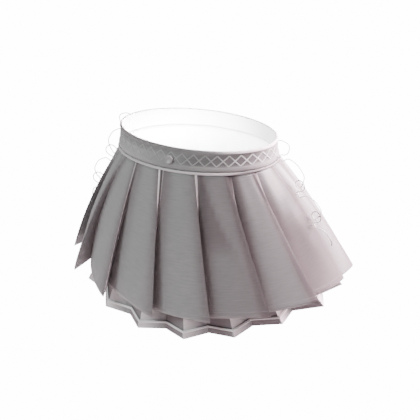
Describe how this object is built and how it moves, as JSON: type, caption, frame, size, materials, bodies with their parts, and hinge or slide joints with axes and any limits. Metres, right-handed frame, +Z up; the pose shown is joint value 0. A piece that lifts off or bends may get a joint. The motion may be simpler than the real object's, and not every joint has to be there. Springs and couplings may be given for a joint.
{
  "type": "two-layer pleated mini skirt",
  "caption": "Short flared skirt, open at waist and hem: knife-pleated outer layer over a longer accordion-pleated layer with a raised hem band, latticed waistband, button and hip cords.",
  "frame": {"origin": "middle of the waist opening, level with the waistband's top edge, where a wearer's waist holds the skirt", "axes": "+Z up, -Y the front with the button, +X the width towards the wearer's left"},
  "size_m": [0.4785, 0.4062, 0.3091],
  "materials": {
    "band_cloth": "smooth matt cloth with raised bars",
    "piping_cloth": "smooth cord piping, lighter",
    "outer_cloth": "fine crosswise ribbed weave, soft sheen",
    "under_cloth": "fine plain weave, matt",
    "hem_cloth": "doubled cloth band",
    "button_plastic": "satin",
    "cord_thread": "fine twisted cord",
    "eye_wire": "white painted wire"
  },
  "bodies": {
    "root": {"waistband": "band_cloth", "waist_piping": "piping_cloth", "front_button": "button_plastic", "outer_skirt_front": "outer_cloth", "outer_skirt_back": "outer_cloth", "under_skirt_front": "under_cloth", "under_skirt_back": "under_cloth", "hem_band_front": "hem_cloth", "hem_band_back": "hem_cloth", "hip_cord_right": "cord_thread", "hip_cord_left": "cord_thread", "cord_eye_right_1": "eye_wire", "cord_eye_right_2": "eye_wire", "cord_eye_right_3": "eye_wire", "cord_eye_left_1": "eye_wire", "cord_eye_left_2": "eye_wire", "cord_eye_left_3": "eye_wire"}
  },
  "joints": []
}
